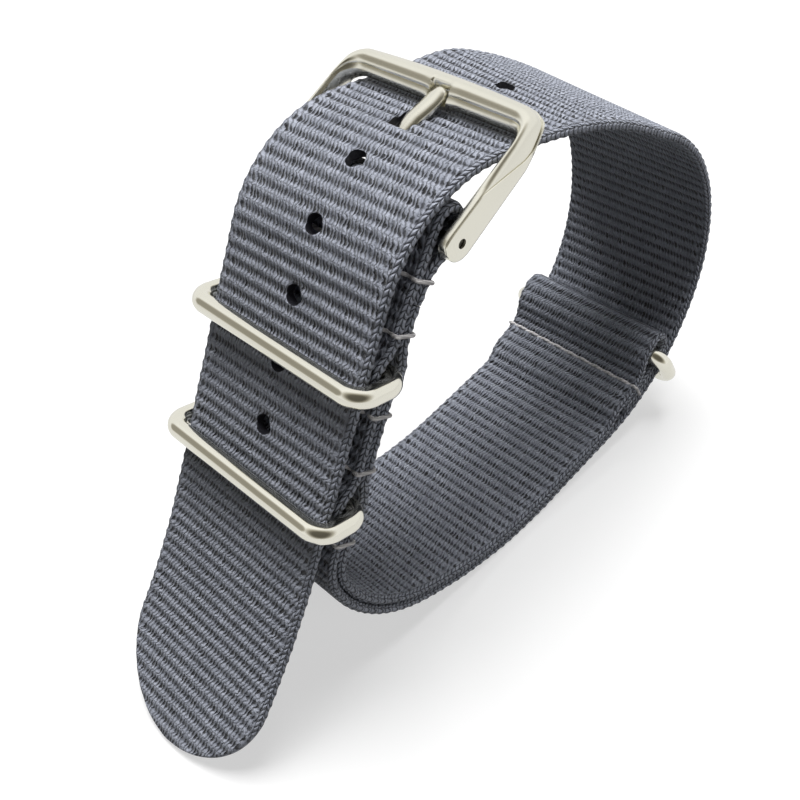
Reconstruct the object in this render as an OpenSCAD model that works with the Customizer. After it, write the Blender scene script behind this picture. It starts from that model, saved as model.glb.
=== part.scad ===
// Pull-through nylon watch strap, closed into its wrist loop, with a pin buckle and three wire rings.
// The loop stands on its lowest point and on the tip of its tail. X runs along the loop, Y across the
// webbing, Z up. The webbing follows one path in the XZ plane, described by stations along it.

/* [Webbing] */
// Width of the webbing
strap_w = 22; // [16:0.5:26]
// Thickness of one layer
web_t = 1.2; // [0.9:0.05:1.5]
// Gap between two layers that lie on each other
layer_gap = 0.05; // [0.03:0.01:0.1]

/* [Wrist loop] */
// Slope of the straight keeper run against the floor, in degrees
run_slope = 61.6; // [57:0.2:65]
// Straight stretch from the pin to the lean
fold_len = 7.6; // [7:0.1:8.5]
// How far the fold leans towards the wrist, in degrees
lean_turn = 8; // [0:1:12]
// Radius of that lean
lean_r = 12; // [8:1:20]
// Straight length of the keeper run below the lean
run_len = 24.7; // [24:0.1:28]
// Radius of the heel under the keeper run
heel_r = 7.5; // [6.5:0.5:9]
// Turn of the heel, in degrees
heel_turn = 44.5; // [40:0.5:48]
// Radius between the heel and the floor
lower_r = 20.2; // [18:0.2:23]
// Turn between the heel and the floor, in degrees
lower_turn = 49.5; // [46:0.5:53]
// Radius of the stretch that rests on the floor
floor_r = 43.2; // [38:0.2:48]
// Turn of the stretch that rests on the floor, in degrees
floor_turn = 33; // [30:0.5:36]
// Flat stretch before the end of the short ribbon
flat_len = 12; // [10:0.5:14]
// Radius of the far end of the loop
end_r = 22.4; // [21:0.2:24]
// Turn of the far end of the loop, in degrees
end_turn = 139.5; // [136:0.5:142]
// Radius of the crown that passes under the buckle's bar
crown_r = 58.6; // [50:0.2:70]
// Turn of the crown, in degrees
crown_turn = 26.5; // [24:0.5:29]
// Radius with which the tail drops over the fold
drop_r = 14.3; // [13.5:0.1:15]
// Gap between the tail and the keeper run where that swells over a ring's leg
tail_gap = 0.3; // [0.2:0.05:0.5]
// Radius of the tail's last stretch, which bends away from the wrist
tip_bend_r = 100; // [80:5:140]
// Turn of that last stretch, in degrees
tip_bend_turn = 16; // [10:0.5:20]

/* [Holes in the tail] */
// Diameter of a punched hole
hole_d = 2.1; // [1.8:0.1:2.4]
// Distance between two holes
hole_pitch = 6.95; // [6.5:0.05:7.2]
// Holes between the tongue and the tip
holes_below = 6; // [4:1:6]
// Holes between the tongue and the crown
holes_above = 2; // [1:1:3]

/* [Pin] */
// Diameter of the spring bar's tube
bar_d = 1.5; // [1.4:0.05:1.8]
// Wall of the tube
tube_wall = 0.18; // [0.14:0.02:0.2]
// Diameter of the tips that sit in the buckle's arms
tip_d = 0.8; // [0.7:0.02:0.84]
// Radial running clearance of a tip in its hole
tip_clear = 0.08; // [0.05:0.01:0.1]
// How far a tip can be pressed in
tip_travel = 1.4; // [1.1:0.1:1.6]
// Slack of the fold round the tube
fold_slack = 0.15; // [0.1:0.05:0.3]
// Gap between the fold and the tail that passes over it
fold_gap = 0.2; // [0.15:0.05:0.4]
// Distance from the centre of the fold to the pin, which sits further down in it
pin_sag = 1.1; // [0.8:0.1:1.3]
// Wire diameter of the hidden spring
spring_wire_d = 0.18; // [0.14:0.02:0.2]
// Turns of the hidden spring
spring_turns = 24; // [18:1:28]

/* [Buckle] */
// Clearance between the webbing's edge and an arm
arm_clear = 0.5; // [0.4:0.05:0.7]
// Thickness of an arm
arm_t = 1.2; // [1.1:0.05:1.5]
// Radius of an arm's round end
arm_end_r = 1.7; // [1.6:0.05:1.9]
// Distance from the pin to the front of the bar
frame_len = 14.4; // [14:0.1:14.8]
// Width of the bar, front to back
front_w = 2.8; // [2.5:0.1:3.1]
// Thickness of the bar
front_t = 2.2; // [2:0.1:2.4]
// Radius of the frame's outer corners
frame_corner_r = 3.5; // [3:0.25:4]
// Radius of the window's corners
window_corner_r = 1.25; // [1:0.25:2]
// Gap between the bar and the webbing under it
front_clear = 0.2; // [0.15:0.05:0.4]
// Width of the tongue
tongue_w = 1.9; // [1.6:0.1:2.2]
// Thickness of the tongue
tongue_t = 1.1; // [0.9:0.05:1.2]
// Wall of the tongue's eye
eye_wall = 0.8; // [0.7:0.05:0.9]
// Tilt of the tongue in the frame, in degrees
tongue_tilt = 5; // [4:0.5:6]
// How far the closed buckle can rock, in degrees
buckle_rock = 5; // [3:1:6]

/* [Rings] */
// Diameter of the wire
wire_d = 2.1; // [1.8:0.05:2.2]
// Clearance between the webbing's edge and a ring's end
ring_side_clear = 0.2; // [0.15:0.05:0.4]
// Distance between a ring's two legs, centre to centre
ring_leg_gap = 5.4; // [5.2:0.05:5.8]
// Radius of a ring's corners, at the centre of the wire
ring_corner_r = 1.5; // [1.4:0.1:2.1]
// Clearance between a sewn leg and the webbing round it
leg_clear = 0.1; // [0.08:0.01:0.15]
// Station of the upper keeper ring's sewn leg, along the webbing from the pin
upper_ring_at = 13.9; // [13.8:0.1:14.2]
// Distance from the upper keeper ring to the lower one
keeper_pitch = 14.5; // [14.2:0.1:14.8]
// Lean of the keeper rings down the run, in degrees
keeper_lean = 14; // [8:1:16]
// Station of the end ring's sewn leg
end_ring_at = 107.4; // [107:0.1:108]
// Lean of the end ring back along the strap, in degrees
end_ring_lean = 15; // [8:1:17]
// Half length of the swelling that a sewn leg makes in the keeper run
swell_half = 3.6; // [3.4:0.1:3.8]
// Height of that swelling in the outer ribbon
outer_swell = 1.4; // [1.2:0.05:1.5]

/* [Folded end] */
// Gap between the folded end and the ribbon that it slides along
end_gap = 0.5; // [0.45:0.05:0.7]
// Length of the folded end, from the fold's middle back to its cut edge
flap_len = 10.2; // [9:0.2:11]
// Distance from the end ring's leg to the stitching of the fold
end_row_back = 5.8; // [5.6:0.1:6.2]

/* [Thread] */
// Diameter of the thread where it is stitched
thread_d = 0.4; // [0.3:0.02:0.42]
// Diameter of the thread where it runs between stitches
thread_core_d = 0.26; // [0.2:0.02:0.28]
// Distance between two stitches
stitch_pitch = 2.2; // [1.8:0.1:2.6]
// Length of one stitch
stitch_len = 1.5; // [1.2:0.1:1.6]
// Distance from a keeper ring's leg to the stitching on either side
keeper_row_off = 4.2; // [4.1:0.1:4.4]
// Station of the stitching that closes the fold
fold_row_at = 4.3; // [4.2:0.1:4.8]

/* [Hidden] */
$fn = 48;

web_color = [0.36, 0.37, 0.42];
metal_color = [0.86, 0.85, 0.82];
thread_color = [0.72, 0.71, 0.69];

// Largest turn between two points of a bend, and spacing of the points where a ribbon swells
bend_step = 4;
fold_step = 10;
swell_step = 0.45;
eps = 0.01;
air = 0.05;

layer_pitch = web_t + layer_gap;
wire_r = wire_d / 2;
bar_r = bar_d / 2;
thread_r = thread_d / 2;
row_lift = air + thread_r;
tail_offset = outer_swell + web_t + tail_gap;

// Path of the main ribbon's middle. A step is [length, 0] for a straight stretch and [radius, turn]
// for a bend; a positive turn bends towards the wrist. A pose is [x, z, heading].
function step_len(q) = q[1] == 0 ? q[0] : q[0] * abs(q[1]) * PI / 180;
function bend(p, r, turn) =
    let (side = sign(turn), h = p[2] + turn)
    [
        p[0] - side * r * (sin(p[2]) - sin(h)),
        p[1] + side * r * (cos(p[2]) - cos(h)),
        h
    ];
function straight(p, run) = [p[0] + run * cos(p[2]), p[1] + run * sin(p[2]), p[2]];
function part_step(p, q, run) =
    q[1] == 0 ? straight(p, run) : bend(p, q[0], sign(q[1]) * run / q[0] * 180 / PI);
function walk(p, steps) = [
    for (i = 0, q = p; i <= len(steps);
        q = i < len(steps) ? part_step(q, steps[i], step_len(steps[i])) : q, i = i + 1) q
];
function lengths(steps) = [
    for (i = 0, s = 0; i <= len(steps);
        s = i < len(steps) ? s + step_len(steps[i]) : s, i = i + 1) s
];

run_heading = 180 + run_slope;
fold_pose = [0, 0, run_heading - lean_turn];
loop_head = [
    [fold_len, 0], [lean_r, lean_turn], [run_len, 0], [heel_r, heel_turn],
    [lower_r, lower_turn], [floor_r, floor_turn], [flat_len, 0], [end_r, end_turn]
];
drop_turn = 360 - heel_turn - lower_turn - floor_turn - end_turn - crown_turn;
loop_tail = [[crown_r, crown_turn], [drop_r, drop_turn]];

// The straight side run has the length that brings the tail to its distance from the keeper run
run_pose = walk(fold_pose, loop_head)[2];
open_end = walk(fold_pose, concat(loop_head, loop_tail))[10];
open_offset =
    (open_end[0] - run_pose[0]) * sin(run_heading) - (open_end[1] - run_pose[1]) * cos(run_heading);
side_heading = run_heading + heel_turn + lower_turn + floor_turn + end_turn;
side_len = (tail_offset - open_offset) / sin(run_heading - side_heading);
loop_steps = concat(loop_head, [[side_len, 0]], loop_tail);
loop_end = walk(fold_pose, loop_steps)[11];

// The tail has the length that brings its tip down to the floor under the loop
floor_knot = walk(fold_pose, loop_head)[5];
floor_z = min([
    for (a = [0:bend_step / 2:floor_turn])
        bend(floor_knot, floor_r, a)[1] - web_t / 2 * cos(floor_knot[2] + a)
]);
bent_tip = bend(loop_end, tip_bend_r, -tip_bend_turn);
tip_low = bent_tip[1] + web_t / 2 * cos(bent_tip[2]);
tail_len = (tip_low - floor_z) / -sin(loop_end[2]);
path_steps = concat(loop_steps, [[tail_len, 0], [tip_bend_r, -tip_bend_turn]]);
path_at = lengths(path_steps);
path_end = path_at[len(path_steps)];

// Everything is built on the path as it leaves the pin, then moved so that the loop stands on Z = 0
// with the origin under its middle
raw_knots = walk(fold_pose, path_steps);
raw_right = max([
    for (a = [0:bend_step / 2:end_turn])
        let (p = bend(raw_knots[7], end_r, a)) p[0] + web_t / 2 * sin(p[2])
]);
raw_left = raw_knots[13][0] + web_t / 2 * sin(raw_knots[13][2]);
shift = [-(raw_right + raw_left) / 2, -floor_z];
knots = walk([shift[0], shift[1], fold_pose[2]], path_steps);

function step_of(s) = max([0, for (i = [0:len(path_steps) - 1]) if (path_at[i] <= s) i]);
function pose(s) = let (i = step_of(s)) part_step(knots[i], path_steps[i], s - path_at[i]);
function curve(s) = let (q = path_steps[step_of(s)]) q[1] == 0 ? 0 : sign(q[1]) / q[0];
// Point beside the path: d is measured from the ribbon's middle towards the wrist
function beside(s, d) = let (p = pose(s)) [p[0] - d * sin(p[2]), p[1] + d * cos(p[2])];

// The fold lies where it just clears the tail that drops over it, and the pin sits further down in it
fold_at = -1.2;
pin_at = fold_at + pin_sag;
fold_r = bar_r + fold_slack + web_t / 2;
drop_knot = knots[10];
drop_mid = [drop_knot[0] - drop_r * sin(drop_knot[2]), drop_knot[1] + drop_r * cos(drop_knot[2])];
fold_reach_r = drop_r - web_t - fold_r - fold_gap;
fold_back = beside(fold_at, 0) - drop_mid;
fold_fall = -fold_back[0] * sin(fold_pose[2]) + fold_back[1] * cos(fold_pose[2]);
fold_d = -fold_fall - sqrt(pow(fold_fall, 2) - fold_back * fold_back + pow(fold_reach_r, 2));
fold_mid = beside(fold_at, fold_d);
pin = beside(pin_at, fold_d);

lower_ring_at = upper_ring_at + keeper_pitch;
keeper_ats = [upper_ring_at, lower_ring_at];
keeper_leg_d = web_t / 2 - outer_swell + leg_clear + wire_r;
inner_swell = keeper_leg_d + wire_r + leg_clear + web_t / 2 - layer_pitch;
// The main ribbon is folded back past the first stitching, and the short ribbon begins next to its end
return_past_row = 2.3;
cut_gap = 0.15;
return_end = fold_row_at + return_past_row;
short_from = return_end + cut_gap;
// Levels of the folded end, measured from the main ribbon's middle
flap_d = web_t + end_gap;
seam_d = flap_d + layer_pitch;
end_loop_r = web_t / 2 + leg_clear + wire_r;
end_leg_d = flap_d + end_loop_r;
top_d = end_leg_d + end_loop_r;
end_row_at = end_ring_at - end_row_back;
// The short ribbon rises over its cut edge ahead of the stitching, then over the leg behind it
rise_len = 3.8;
rise_ahead = 3.8;
crest_behind_row = 0.4;
crest_before_leg = 0.2;
loop_past_leg = 1.2;
rise_to = end_row_at - rise_ahead;
rise_from = rise_to - rise_len;
crest_from = end_row_at + crest_behind_row;
crest_to = end_ring_at - crest_before_leg;
end_loop_at = end_ring_at + loop_past_leg;
flap_end = end_loop_at - flap_len;

function ease(u) = u <= 0 ? 0 : u >= 1 ? 1 : (1 - cos(180 * u)) / 2;
function swell(u) = abs(u) >= 1 ? 0 : (1 + cos(180 * u)) / 2;
function swells(s) = swell((s - upper_ring_at) / swell_half) + swell((s - lower_ring_at) / swell_half);
function to_fold(s) = 1 - ease((s - pin_at) / (fold_row_at - pin_at));
function main_d(s) = (fold_d - fold_r) * to_fold(s) - outer_swell * swells(s);
function short_d(s) =
    layer_pitch + (fold_d + fold_r - layer_pitch) * to_fold(s) + inner_swell * swells(s)
    + (seam_d - layer_pitch) * ease((s - rise_from) / (rise_to - rise_from))
    + (top_d - seam_d) * ease((s - crest_from) / (crest_to - crest_from));

// Stations of the points of a ribbon: every bend in small turns, and swellings in small steps
bend_ats = concat([
    for (i = [0:len(path_steps) - 1])
        let (q = path_steps[i], n = q[1] == 0 ? 1 : ceil(abs(q[1]) / bend_step))
        for (k = [0:n - 1]) path_at[i] + k / n * step_len(q)
], [path_end]);
bend_margin = 0.2;
function bends(a, b) = [for (s = bend_ats) if (s > a + bend_margin && s < b - bend_margin) s];
function steps(a, b) = let (n = ceil((b - a) / swell_step)) [for (i = [0:n]) a + (b - a) * i / n];
swell_ats = [for (c = keeper_ats) for (s = steps(c - swell_half, c + swell_half)) s];
fold_ats = concat([fold_at], steps(pin_at, fold_row_at));
stack_ats = concat(bends(return_end, upper_ring_at - swell_half), swell_ats);
main_ats = concat(
    fold_ats, bends(fold_row_at, upper_ring_at - swell_half), swell_ats,
    bends(lower_ring_at + swell_half, path_end), [path_end]
);
return_ats = concat(fold_ats, [return_end]);
short_ats = concat(
    [short_from], stack_ats, bends(lower_ring_at + swell_half, rise_from), steps(rise_from, rise_to),
    bends(rise_to, crest_from), steps(crest_from, crest_to), [end_loop_at]
);

// Pose of the middle of a layer, headed along it; the layer's distance changes from behind to ahead
function layer_pose(s, d, behind, ahead) =
    let (p = beside(s, d), slope = (ahead - behind) / (2 * eps))
    [p[0], p[1], pose(s)[2] + atan(slope / (1 - d * curve(s)))];
function on_main(s) = layer_pose(s, main_d(s), main_d(s - eps), main_d(s + eps));
function on_short(s) = layer_pose(s, short_d(s), short_d(s - eps), short_d(s + eps));
function turned(p) = [p[0], p[1], p[2] + 180];
function turned_all(line) = [for (i = [len(line) - 1:-1:0]) turned(line[i])];
function round_pose(c, r, a, travel) = [c[0] + r * cos(a), c[1] + r * sin(a), a + 90 * travel];

apex = fold_pose[2] + 180;
fold_reach = 80;
main_line = concat(
    turned_all([for (s = return_ats) on_short(s)]),
    [for (a = [-fold_reach:fold_step:fold_reach]) round_pose(fold_mid, fold_r, apex + a, 1)],
    [for (s = main_ats) on_main(s)]
);
end_loop_pose = pose(end_loop_at);
end_loop_mid = beside(end_loop_at, end_leg_d);
flap_ats = concat([flap_end], bends(flap_end, end_loop_at), [end_loop_at]);
short_line = concat(
    [for (s = short_ats) on_short(s)],
    [
        for (a = [fold_step:fold_step:180 - fold_step])
            round_pose(end_loop_mid, end_loop_r, end_loop_pose[2] + 90 - a, -1)
    ],
    turned_all([for (s = flap_ats) layer_pose(s, flap_d, flap_d, flap_d)])
);

// Outline of a ribbon of webbing, from the poses of its middle
function edge_of(line, d) = [for (p = line) [p[0] - d * sin(p[2]), p[1] + d * cos(p[2])]];
function outline(line) =
    let (b = edge_of(line, -web_t / 2))
    concat(edge_of(line, web_t / 2), [for (i = [len(b) - 1:-1:0]) b[i]]);

// Seat of the buckle: the bar's lower back edge lies a gap above the webbing
bar_back = frame_len - front_w;
bar_reach = norm([bar_back, front_t / 2]);
crown_at = path_at[9];
function above_web(s) = beside(s, -web_t / 2 - front_clear);
function seat_at(a, b, n) =
    n == 0 ? a
    : let (m = (a + b) / 2)
    norm(above_web(m) - pin) > bar_reach ? seat_at(m, b, n - 1) : seat_at(a, m, n - 1);
halvings = 30;
bar_seat = above_web(seat_at(crown_at, path_at[11], halvings)) - pin;
frame_rise = atan2(bar_seat[1], bar_seat[0]) + atan(front_t / 2 / bar_back);
arm_in = strap_w / 2 + arm_clear;
arm_out = arm_in + arm_t;

// The tongue leaves the webbing's outer face here. It pulls its hole a little towards the bar, and the
// other holes are spaced from where the hole would be without that.
tongue_dir = frame_rise + tongue_tilt;
function over_tongue(s) =
    let (q = beside(s, -web_t / 2) - pin) q[1] * cos(tongue_dir) - q[0] * sin(tongue_dir);
function tongue_at(a, b, n) =
    n == 0 ? a
    : let (m = (a + b) / 2) over_tongue(m) < 0 ? tongue_at(m, b, n - 1) : tongue_at(a, m, n - 1);
tongue_hole_at = tongue_at(crown_at, path_at[11], halvings);
hole_pull = 0.55;
hole_ats = [
    for (k = [-holes_above:holes_below]) if (k != 0) tongue_hole_at + hole_pull + k * hole_pitch
];
tongue_short_of_mid = 0.35;
tongue_len = frame_len - front_w / 2 - tongue_short_of_mid;
eye_r = bar_r + air;
eye_out = eye_r + eye_wall;
tongue_clear = 0.15;
slot_w = tongue_w + 4 * tongue_clear;
slot_r = fold_r + web_t / 2 + air;
// The slanting tongue's passage through the webbing, from past its eye to short of the bar
passage_from = eye_out + 2.6;
passage_to = bar_back - 0.5;

// The arm's lower edge is straight to here, then tapers up to the bar
taper_from = bar_back - 2.6;
taper_to = bar_back - 0.4;
// The collar round the tongue's notch stands out of the bar
collar_margin = 1;
collar_len = 1.9;
collar_back = 0.6;
collar_low = 0.3;
collar_rise = 0.25;
notch_back = 2;

ring_side = strap_w / 2 + ring_side_clear + wire_r;
tip_hole_r = tip_d / 2 + tip_clear;
// Depths and gaps along the spring bar, from the arms to its middle
tip_recess = 0.3;
flange_gap = 0.2;
flange_t = 0.3;
flange_step = 0.1;
tube_gap = 0.15;
mouth_t = 0.4;
piston_gap = 0.2;
piston_t = 0.9;
spring_gap = 0.1;
tip_end = arm_out - tip_recess;
flange_out = arm_in - flange_gap;
tube_half = flange_out - flange_t - tip_travel - tube_gap;
piston_out = tube_half - mouth_t - piston_gap;
bore_r = bar_r - tube_wall;
spring_half = piston_out - piston_t - spring_gap;
spring_r = bore_r - air - spring_wire_d / 2;

// Local frame on the path: x along it, y across the webbing, z towards the wrist
module on_path(s, d = 0) {
    p = beside(s, d);
    translate([p[0], 0, p[1]]) rotate([0, -pose(s)[2], 0]) children();
}
// Local frame at the pin: x towards the buckle's bar, y across, z outwards
module at_pin(angle = 0) {
    translate([pin[0], 0, pin[1]]) rotate([0, -angle, 0]) children();
}
module across(r, half) {
    rotate([90, 0, 0]) cylinder(r = r, h = 2 * half, center = true);
}
module webbing(line) {
    rotate([90, 0, 0]) linear_extrude(height = strap_w, center = true) polygon(outline(line));
}

// Round the corners off the tail's tip
module tip_corners() {
    on_path(path_end - strap_w / 2) difference() {
        translate([0, -strap_w, -2 * web_t]) cube([strap_w, 2 * strap_w, 4 * web_t]);
        cylinder(r = strap_w / 2, h = 5 * web_t, center = true, $fn = 96);
    }
}
module punched_holes() {
    for (s = hole_ats) on_path(s) cylinder(d = hole_d, h = 2 * web_t, center = true);
}
// Room for the slanting tongue as the closed buckle rocks
module tongue_passage() {
    low = tongue_t / 2 + tongue_clear;
    rocked = tan(buckle_rock);
    at_pin(tongue_dir) rotate([90, 0, 0]) linear_extrude(height = slot_w, center = true) polygon([
        [passage_from, -low], [passage_to, -low],
        [passage_to, low + passage_to * rocked], [passage_from, low + passage_from * rocked]
    ]);
}
module fold_slot() {
    at_pin(apex) {
        across(slot_r, slot_w / 2);
        translate([pin_sag / 2, 0, 0]) cube([pin_sag, slot_w, 2 * slot_r], center = true);
        translate([pin_sag, 0, 0]) across(slot_r, slot_w / 2);
    }
}
module leg_pockets() {
    for (s = keeper_ats) on_path(s, keeper_leg_d) across(wire_r + leg_clear, strap_w);
}

module main_strap() {
    color(web_color) difference() {
        webbing(main_line);
        tip_corners();
        punched_holes();
        tongue_passage();
        fold_slot();
        leg_pockets();
    }
}

module short_strap() {
    color(web_color) difference() {
        webbing(short_line);
        fold_slot();
        leg_pockets();
        on_path(end_ring_at, end_leg_d) across(wire_r + leg_clear, strap_w);
    }
}

// Rectangle with two rounded corners at its front, for the frame and for its window
module front_rounded(back, front, half, r) {
    translate([back, -half]) square([front - r - back, 2 * half]);
    translate([back, -half + r]) square([front - back, 2 * (half - r)]);
    for (y = [-1, 1]) translate([front - r, y * (half - r)]) circle(r = r);
}
module frame_side() {
    nose = front_t / 2;
    circle(r = arm_end_r);
    translate([frame_len - nose, 0]) circle(r = nose);
    polygon([
        [0, -arm_end_r], [taper_from, -arm_end_r], [taper_to, -nose],
        [frame_len - nose, -nose], [frame_len - nose, nose], [0, arm_end_r]
    ]);
}
module buckle_frame() {
    color(metal_color) at_pin(frame_rise) difference() {
        union() {
            intersection() {
                linear_extrude(height = 3 * arm_end_r, center = true) difference() {
                    front_rounded(-arm_end_r - 1, frame_len, arm_out, frame_corner_r);
                    front_rounded(-arm_end_r - 2, bar_back, arm_in, window_corner_r);
                }
                rotate([90, 0, 0]) linear_extrude(height = 3 * arm_out, center = true) frame_side();
            }
            translate([bar_back - collar_back, -tongue_w / 2 - collar_margin, -collar_low])
                cube([collar_len, tongue_w + 2 * collar_margin, front_t / 2 + collar_low + collar_rise]);
        }
        across(tip_hole_r, arm_out + 1);
        rotate([0, -tongue_tilt, 0])
            translate([bar_back - notch_back, -slot_w / 2, -tongue_t / 2 - tongue_clear])
            cube([tongue_len + tongue_clear - bar_back + notch_back, slot_w, 2 * front_t]);
    }
}

module buckle_tongue() {
    color(metal_color) at_pin(tongue_dir) difference() {
        union() {
            across(eye_out, tongue_w / 2);
            translate([0, -tongue_w / 2, -tongue_t / 2])
                cube([tongue_len - tongue_t / 2, tongue_w, tongue_t]);
            translate([tongue_len - tongue_t / 2, 0, 0]) across(tongue_t / 2, tongue_w / 2);
        }
        across(eye_r, tongue_w);
    }
}

module spring_bar_barrel() {
    color(metal_color) at_pin() difference() {
        across(bar_r, tube_half);
        across(bore_r, tube_half - mouth_t);
        across(tip_d / 2 + air, tube_half + 1);
    }
}
// A tip has a piston in the tube, a neck, and a flange next to the arm; side is 1 or -1
module spring_bar_tip(side) {
    color(metal_color) at_pin() rotate([-90 * side, 0, 0]) {
        translate([0, 0, piston_out - piston_t]) cylinder(r = bore_r - air, h = piston_t);
        translate([0, 0, piston_out - piston_t]) cylinder(d = tip_d, h = tip_end - piston_out + piston_t);
        translate([0, 0, flange_out - flange_t]) cylinder(r = bar_r - flange_step, h = flange_t);
    }
}
module spring_bar_tip_near() { spring_bar_tip(-1); }
module spring_bar_tip_far() { spring_bar_tip(1); }

// The spring is one unbroken wire of 6 sides, with 8 rings to a turn
module spring_bar_spring() {
    sides = 6;
    rings = 8 * spring_turns;
    reach = spring_half - spring_wire_d;
    pts = [
        for (i = [0:rings])
            let (a = 45 * i, z = -reach + 2 * reach * i / rings)
            for (k = [0:sides - 1])
                let (b = 360 * k / sides, r = spring_r + spring_wire_d / 2 * cos(b))
                [r * cos(a), r * sin(a), z + spring_wire_d / 2 * sin(b)]
    ];
    tube = [
        for (i = [0:rings - 1]) for (k = [0:sides - 1])
            let (a = i * sides + k, b = i * sides + (k + 1) % sides)
            each [[a, a + sides, b], [b, a + sides, b + sides]]
    ];
    caps = [
        for (k = [1:sides - 2]) [0, k, k + 1],
        for (k = [1:sides - 2]) [rings * sides, rings * sides + k + 1, rings * sides + k]
    ];
    color(metal_color) at_pin() rotate([90, 0, 0]) polyhedron(points = pts, faces = concat(tube, caps));
}

// Wire ring in the XY plane: one leg along X through the origin, the other below it
module wire_ring() {
    r = ring_corner_r;
    for (y = [0, -ring_leg_gap])
        translate([0, y, 0]) rotate([0, 90, 0])
            cylinder(r = wire_r, h = 2 * (ring_side - r), center = true);
    for (x = [-ring_side, ring_side])
        translate([x, -r, 0]) rotate([90, 0, 0]) cylinder(r = wire_r, h = ring_leg_gap - 2 * r);
    for (c = [[1, 0, 0], [-1, 0, 90], [-1, 1, 180], [1, 1, 270]])
        translate([c[0] * (ring_side - r), c[1] == 0 ? -r : r - ring_leg_gap, 0])
            rotate([0, 0, c[2]]) rotate_extrude(angle = 90) translate([r, 0]) circle(r = wire_r);
}
module seated_ring(s, d, lean) {
    color(metal_color) on_path(s, d) rotate([0, lean, 0]) rotate([90, 0, 90]) wire_ring();
}
module upper_keeper_ring() { seated_ring(upper_ring_at, keeper_leg_d, -keeper_lean); }
module lower_keeper_ring() { seated_ring(lower_ring_at, keeper_leg_d, -keeper_lean); }
module strap_end_ring() { seated_ring(end_ring_at, end_leg_d, end_ring_lean); }

// A row of thread goes round the edges of the layers that it joins, with its stitches on both faces
module stitch_row(s, outer, inner) {
    side = strap_w / 2 + row_lift;
    low = outer - web_t / 2 - row_lift;
    high = inner + web_t / 2 + row_lift;
    count = floor((strap_w - stitch_len) / stitch_pitch / 2);
    color(thread_color) on_path(s) {
        for (z = [low, high]) {
            translate([0, 0, z]) across(thread_core_d / 2, side);
            for (k = [-count:count]) translate([0, k * stitch_pitch, z]) across(thread_r, stitch_len / 2);
        }
        for (y = [-side, side]) {
            translate([0, y, low]) cylinder(r = thread_r, h = high - low);
            for (z = [low, high]) translate([0, y, z]) sphere(r = thread_r);
        }
    }
}
module keeper_row(s) { stitch_row(s, main_d(s), short_d(s)); }
module fold_stitching() { keeper_row(fold_row_at); }
module upper_keeper_top_stitching() { keeper_row(upper_ring_at - keeper_row_off); }
module upper_keeper_bottom_stitching() { keeper_row(upper_ring_at + keeper_row_off); }
module lower_keeper_top_stitching() { keeper_row(lower_ring_at - keeper_row_off); }
module lower_keeper_bottom_stitching() { keeper_row(lower_ring_at + keeper_row_off); }
module end_fold_stitching() { stitch_row(end_row_at, flap_d, seam_d); }

main_strap();
short_strap();
buckle_frame();
buckle_tongue();
spring_bar_barrel();
spring_bar_spring();
spring_bar_tip_near();
spring_bar_tip_far();
upper_keeper_ring();
lower_keeper_ring();
strap_end_ring();
fold_stitching();
upper_keeper_top_stitching();
upper_keeper_bottom_stitching();
lower_keeper_top_stitching();
lower_keeper_bottom_stitching();
end_fold_stitching();
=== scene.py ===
"""The looks of a pull-through nylon watch strap, closed into its wrist loop.

The webbing is laid as a ribbed ribbon on the same path that the solids follow. The buckle, its
tongue, the wire rings and the thread are modelled round their solids, and everything is dressed in
procedural materials. Sizes are in millimetres and become metres where a vertex is placed.
"""

import logging
import math
from collections.abc import Callable, Sequence
from dataclasses import dataclass
from enum import Enum

import bmesh
import bpy
from mathutils import Matrix, Vector, noise

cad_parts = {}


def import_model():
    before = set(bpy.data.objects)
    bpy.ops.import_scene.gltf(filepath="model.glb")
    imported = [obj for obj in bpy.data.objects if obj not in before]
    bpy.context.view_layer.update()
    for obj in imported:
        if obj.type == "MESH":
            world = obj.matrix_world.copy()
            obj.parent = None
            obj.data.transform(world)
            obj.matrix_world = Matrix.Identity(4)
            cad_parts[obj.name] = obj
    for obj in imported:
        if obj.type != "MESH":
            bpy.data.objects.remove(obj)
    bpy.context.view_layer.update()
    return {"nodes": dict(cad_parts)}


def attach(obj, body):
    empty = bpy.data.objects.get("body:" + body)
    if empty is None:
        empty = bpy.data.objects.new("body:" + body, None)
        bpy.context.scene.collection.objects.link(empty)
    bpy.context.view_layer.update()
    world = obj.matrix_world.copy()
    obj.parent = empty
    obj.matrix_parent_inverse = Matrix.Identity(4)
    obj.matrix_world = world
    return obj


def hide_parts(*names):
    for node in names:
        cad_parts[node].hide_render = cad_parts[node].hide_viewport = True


LOG = logging.getLogger("watch_strap")
MM = 0.001
QUARTER = math.pi / 2

Point2 = tuple[float, float]
Point3 = tuple[float, float, float]
Colour = tuple[float, float, float]
Material = bpy.types.Material
Node = bpy.types.Node
Piece = bpy.types.Object
Tree = bpy.types.NodeTree
Inputs = dict[str | int, object]


def ease(u: float) -> float:
    """Return the smooth step from 0 at u = 0 to 1 at u = 1."""
    return 0.0 if u <= 0 else 1.0 if u >= 1 else (1 - math.cos(math.pi * u)) / 2


def ramp(value: float, span: Point2) -> float:
    """Return the smooth step from 0 at the start of a span to 1 at its end."""
    return ease((value - span[0]) / (span[1] - span[0]))


def swell(u: float) -> float:
    """Return a smooth hump that is 1 at u = 0 and 0 from u = -1 and u = 1 on."""
    return 0.0 if abs(u) >= 1 else (1 + math.cos(math.pi * u)) / 2


def spread(low: float, high: float, step: float) -> list[float]:
    """Return evenly spaced numbers from low to high, both included, at most a step apart."""
    count = max(1, math.ceil(abs(high - low) / step))
    return [low + (high - low) * i / count for i in range(count + 1)]


def arc(mid: Point2, radius: float, angles: Sequence[float]) -> list[Point2]:
    """Return the points of an arc round mid at the given angles."""
    return [(mid[0] + radius * math.cos(a), mid[1] + radius * math.sin(a)) for a in angles]


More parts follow.
